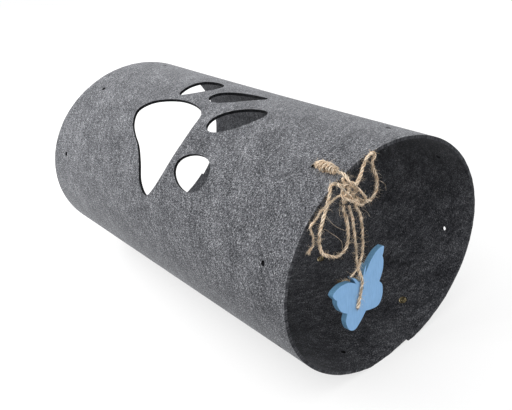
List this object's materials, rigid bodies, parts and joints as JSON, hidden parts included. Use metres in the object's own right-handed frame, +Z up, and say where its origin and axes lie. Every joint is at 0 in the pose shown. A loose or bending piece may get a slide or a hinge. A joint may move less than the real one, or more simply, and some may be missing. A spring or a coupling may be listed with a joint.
{
  "type": "pet tunnel",
  "caption": "Rolled felt play tunnel for a cat, with a cut-out paw print and a wooden butterfly hung on jute twine in its mouth.",
  "frame": {"origin": "on the floor under the tunnel's axis, midway between its two ends", "axes": "+Z up; +Y along the tunnel, away from the mouth that the butterfly hangs in; +X across, to the right when looking along +Y"},
  "size_m": [0.287, 0.5188, 0.2512],
  "materials": {
    "felt": "needled felt, light grey marl outside and charcoal marl inside",
    "antique_brass": "antiqued",
    "jute": "twisted natural twine",
    "blue_paint": "wood painted light blue, eggshell"
  },
  "bodies": {
    "tunnel": {"felt_sheet": "felt", "snap_cap_1": "antique_brass", "snap_cap_2": "antique_brass", "snap_cap_3": "antique_brass", "snap_cap_4": "antique_brass", "snap_socket_1": "antique_brass", "snap_socket_2": "antique_brass", "snap_socket_3": "antique_brass", "snap_socket_4": "antique_brass", "snap_stud_1": "antique_brass", "snap_stud_2": "antique_brass", "snap_stud_3": "antique_brass", "snap_stud_4": "antique_brass", "snap_post_1": "antique_brass", "snap_post_2": "antique_brass", "snap_post_3": "antique_brass", "snap_post_4": "antique_brass", "rim_tie": "jute", "tie_wraps": "jute"},
    "bow": {"bow_knot": "jute", "bow_left_loop": "jute", "bow_right_loop": "jute", "bow_tail": "jute"},
    "pendant": {"strand_left": "jute", "strand_right": "jute"},
    "butterfly": {"butterfly": "blue_paint", "butterfly_tie": "jute", "butterfly_sling": "jute"}
  },
  "joints": [
    {"name": "bow_sway", "type": "hinge", "parent": "tunnel", "child": "bow", "pos_m": [-0.0615, -0.2625, 0.22765], "axis": [0, 1, 0], "range_deg": [-20, 20]},
    {"name": "pendant_swing", "type": "hinge", "parent": "bow", "child": "pendant", "pos_m": [-0.0615, -0.2625, 0.22765], "axis": [1, 0, 0], "range_deg": [-70, 45]},
    {"name": "butterfly_twist", "type": "hinge", "parent": "pendant", "child": "butterfly", "pos_m": [-0.0591, -0.2645, 0.15005], "axis": [0, 0, 1], "range_deg": [-90, 90]}
  ]
}
